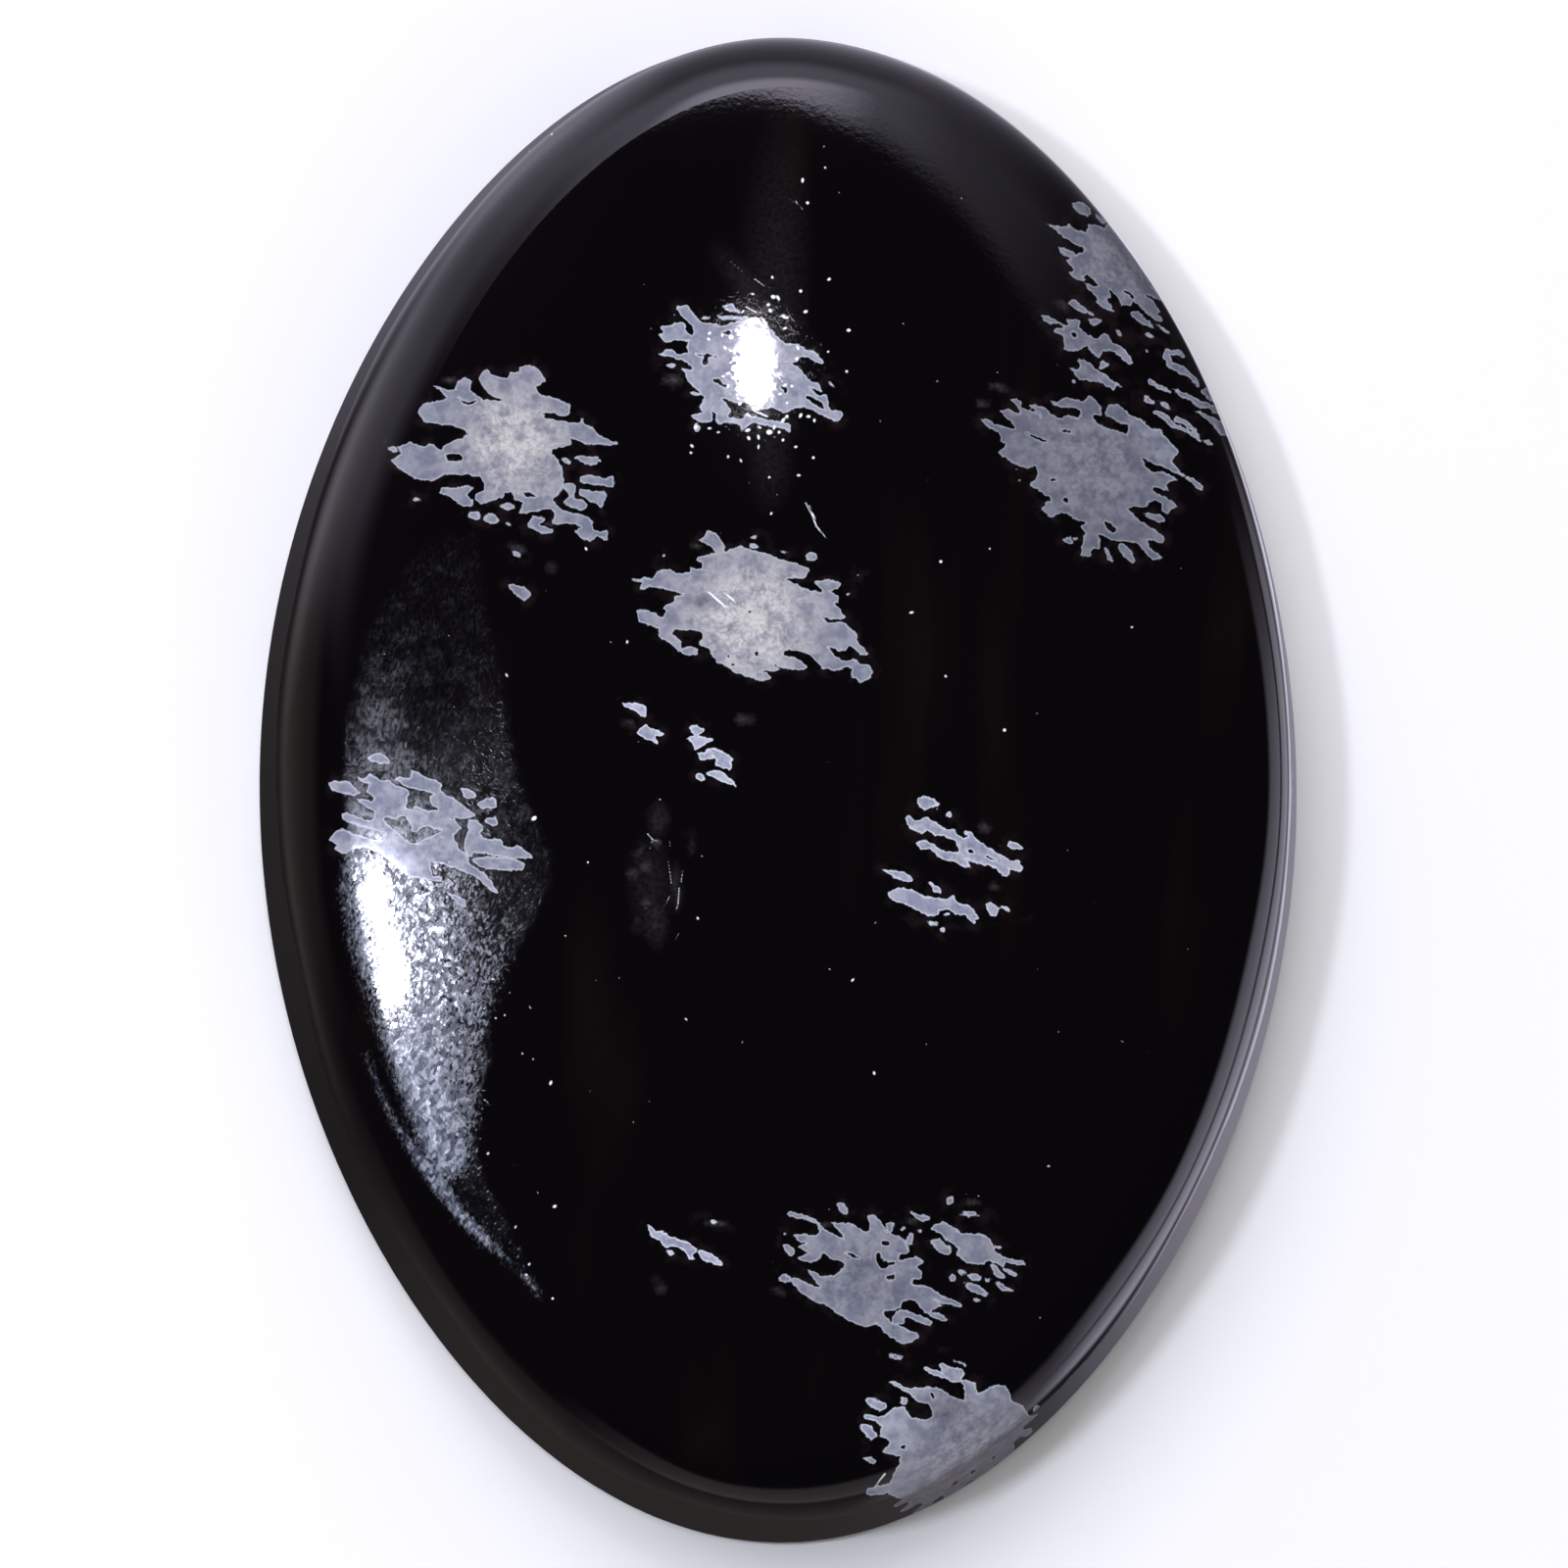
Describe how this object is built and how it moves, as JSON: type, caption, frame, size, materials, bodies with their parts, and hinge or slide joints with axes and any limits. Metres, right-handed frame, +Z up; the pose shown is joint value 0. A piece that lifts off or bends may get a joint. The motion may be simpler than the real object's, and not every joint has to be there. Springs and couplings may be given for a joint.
{
  "type": "snowflake obsidian cabochon",
  "caption": "Polished oval cabochon of black volcanic glass with grey snowflake patches, a low domed top, a steep side wall and a flat ground back.",
  "frame": {"origin": "middle of the flat back, on the surface that the stone rests on", "axes": "+Z up out of the dome, +Y along the oval's length, +X across its width"},
  "size_m": [0.0246, 0.036, 0.006],
  "materials": {
    "obsidian": "polished"
  },
  "bodies": {
    "root": {"cabochon": "obsidian"}
  },
  "joints": []
}
